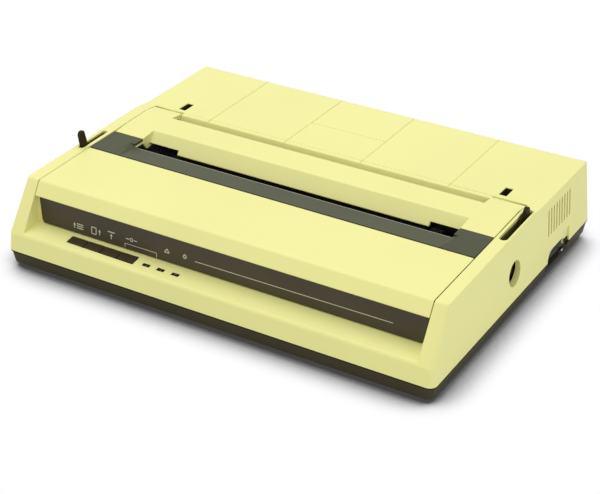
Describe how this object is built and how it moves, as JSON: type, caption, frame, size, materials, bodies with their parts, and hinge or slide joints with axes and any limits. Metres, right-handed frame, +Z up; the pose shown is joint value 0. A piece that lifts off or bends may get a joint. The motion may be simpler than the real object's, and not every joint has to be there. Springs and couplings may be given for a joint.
{
  "type": "dot matrix printer",
  "caption": "Low desktop dot matrix printer with a cream case on a dark tray, a hinged cover with a smoked tear strip, a platen and a moving print head.",
  "frame": {"origin": "on the table under the centre of the case", "axes": "+X to the right seen from the front, +Y to the rear, +Z up"},
  "size_m": [0.362, 0.276, 0.0816],
  "materials": {
    "case_cream": "fine matte",
    "dark_plastic": "fine matte",
    "smoke_plastic": "satin smoke",
    "black_plastic": "satin",
    "ivory_plastic": "satin",
    "sheet_steel": "plated",
    "ground_steel": "polished",
    "aluminium": "anodised",
    "brass": "satin",
    "rubber": "matte",
    "circuit_board": "solder mask",
    "copper_coil": "varnished",
    "red_lens": "clear",
    "ribbon": "inked"
  },
  "bodies": {
    "case": {"lower_case": "dark_plastic", "upper_case": "case_cream", "interface_cover": "case_cream", "rubber_feet": "rubber", "case_screws": "ground_steel", "control_strip": "dark_plastic", "indicator_lenses": "red_lens", "control_board": "circuit_board", "panel_switches": "black_plastic", "main_board": "circuit_board", "board_chips": "black_plastic", "heat_sink": "aluminium", "transformer_core": "sheet_steel", "transformer_coil": "copper_coil", "mains_inlet": "black_plastic", "parallel_connector": "sheet_steel", "power_switch_body": "black_plastic", "frame_plate": "sheet_steel", "side_frame_left": "sheet_steel", "side_frame_right": "sheet_steel", "front_rail": "sheet_steel", "platen_bush": "ivory_plastic", "platen_bearing": "black_plastic", "paper_guide": "black_plastic", "line_feed_motor": "sheet_steel", "carriage_motor": "sheet_steel", "drive_belt": "rubber"},
    "lid": {"access_cover": "case_cream", "tear_strip": "smoke_plastic"},
    "platen": {"platen_shaft": "ground_steel", "platen_roller": "rubber", "pin_wheels": "ivory_plastic", "platen_gear": "ivory_plastic"},
    "idler": {"idler_gear": "ivory_plastic"},
    "feed_pinion": {"line_feed_pinion": "brass"},
    "carriage": {"carriage_frame": "black_plastic", "carriage_bushes": "brass", "print_head": "aluminium", "ribbon_cartridge": "black_plastic", "ink_ribbon": "ribbon"},
    "ribbon_drive_knob": {"ribbon_knob": "black_plastic"},
    "drive_pulley": {"motor_pulley": "brass"},
    "tail_pulley": {"idler_pulley": "ivory_plastic"},
    "head_gap": {"guide_shaft": "ground_steel", "head_gap_lever": "dark_plastic"},
    "paper_release": {"release_lever": "dark_plastic"},
    "pressure": {"pressure_frame": "sheet_steel"},
    "pressure_roll": {"pressure_rollers": "rubber"},
    "line_feed_key": {"line_feed_button": "dark_plastic"},
    "form_feed_key": {"form_feed_button": "dark_plastic"},
    "page_top_key": {"page_top_button": "dark_plastic"},
    "select_key": {"select_button": "dark_plastic"},
    "rocker": {"power_rocker": "dark_plastic"}
  },
  "joints": [
    {"name": "lid_hinge", "type": "hinge", "parent": "case", "child": "lid", "pos_m": [0, 0.0372, 0.0652], "axis": [-1, 0, 0], "range_deg": [0, 78]},
    {"name": "platen_turn", "type": "hinge", "parent": "case", "child": "platen", "pos_m": [0, -0.0055, 0.0372], "axis": [1, 0, 0], "continuous": true},
    {"name": "idler_turn", "type": "hinge", "parent": "case", "child": "idler", "pos_m": [0, 0.02143, 0.02165], "axis": [1, 0, 0], "continuous": true},
    {"name": "feed_pinion_turn", "type": "hinge", "parent": "case", "child": "feed_pinion", "pos_m": [0, 0.03505, 0.0253], "axis": [1, 0, 0], "continuous": true},
    {"name": "carriage_travel", "type": "slide", "parent": "case", "child": "carriage", "axis": [1, 0, 0], "range_m": [0, 0.192]},
    {"name": "ribbon_knob_turn", "type": "hinge", "parent": "carriage", "child": "ribbon_drive_knob", "pos_m": [-0.068, -0.066, 0.062], "axis": [0, 0, 1], "continuous": true},
    {"name": "drive_pulley_turn", "type": "hinge", "parent": "case", "child": "drive_pulley", "pos_m": [0.134, -0.092, 0.014], "axis": [0, 0, 1], "range_deg": [-1, 1584]},
    {"name": "tail_pulley_turn", "type": "hinge", "parent": "case", "child": "tail_pulley", "pos_m": [-0.134, -0.092, 0.014], "axis": [0, 0, 1], "range_deg": [-1, 1584]},
    {"name": "head_gap_turn", "type": "hinge", "parent": "case", "child": "head_gap", "pos_m": [0, -0.051, 0.0165], "axis": [-1, 0, 0], "range_deg": [0, 25]},
    {"name": "paper_release_turn", "type": "hinge", "parent": "case", "child": "paper_release", "pos_m": [0.1718, -0.0055, 0.0372], "axis": [1, 0, 0], "range_deg": [0, 54]},
    {"name": "pressure_swing", "type": "hinge", "parent": "case", "child": "pressure", "pos_m": [0, 0.014, 0.0135], "axis": [1, 0, 0], "range_deg": [0, 4]},
    {"name": "pressure_roll_turn", "type": "hinge", "parent": "pressure", "child": "pressure_roll", "pos_m": [0, 0.00032, 0.0155], "axis": [1, 0, 0], "continuous": true},
    {"name": "line_feed_press", "type": "slide", "parent": "case", "child": "line_feed_key", "axis": [0, 0.1396, -0.9902], "range_m": [0, 0.0015], "stiffness_N_per_m": 300},
    {"name": "form_feed_press", "type": "slide", "parent": "case", "child": "form_feed_key", "axis": [0, 0.1396, -0.9902], "range_m": [0, 0.0015], "stiffness_N_per_m": 300},
    {"name": "page_top_press", "type": "slide", "parent": "case", "child": "page_top_key", "axis": [0, 0.1396, -0.9902], "range_m": [0, 0.0015], "stiffness_N_per_m": 300},
    {"name": "select_press", "type": "slide", "parent": "case", "child": "select_key", "axis": [0, 0.1396, -0.9902], "range_m": [0, 0.0015], "stiffness_N_per_m": 300},
    {"name": "rocker_turn", "type": "hinge", "parent": "case", "child": "rocker", "pos_m": [0.173, 0.0765, 0.0145], "axis": [0, 0, 1], "range_deg": [0, 14]}
  ],
  "couplings": [
    {"joint": "idler_turn", "follows": "platen_turn", "ratio": -2.4444},
    {"joint": "feed_pinion_turn", "follows": "platen_turn", "ratio": 4.4},
    {"joint": "drive_pulley_turn", "follows": "carriage_travel", "rad_per_m": 143.88},
    {"joint": "tail_pulley_turn", "follows": "carriage_travel", "rad_per_m": 143.88},
    {"joint": "pressure_swing", "follows": "paper_release_turn", "ratio": 0.07}
  ]
}
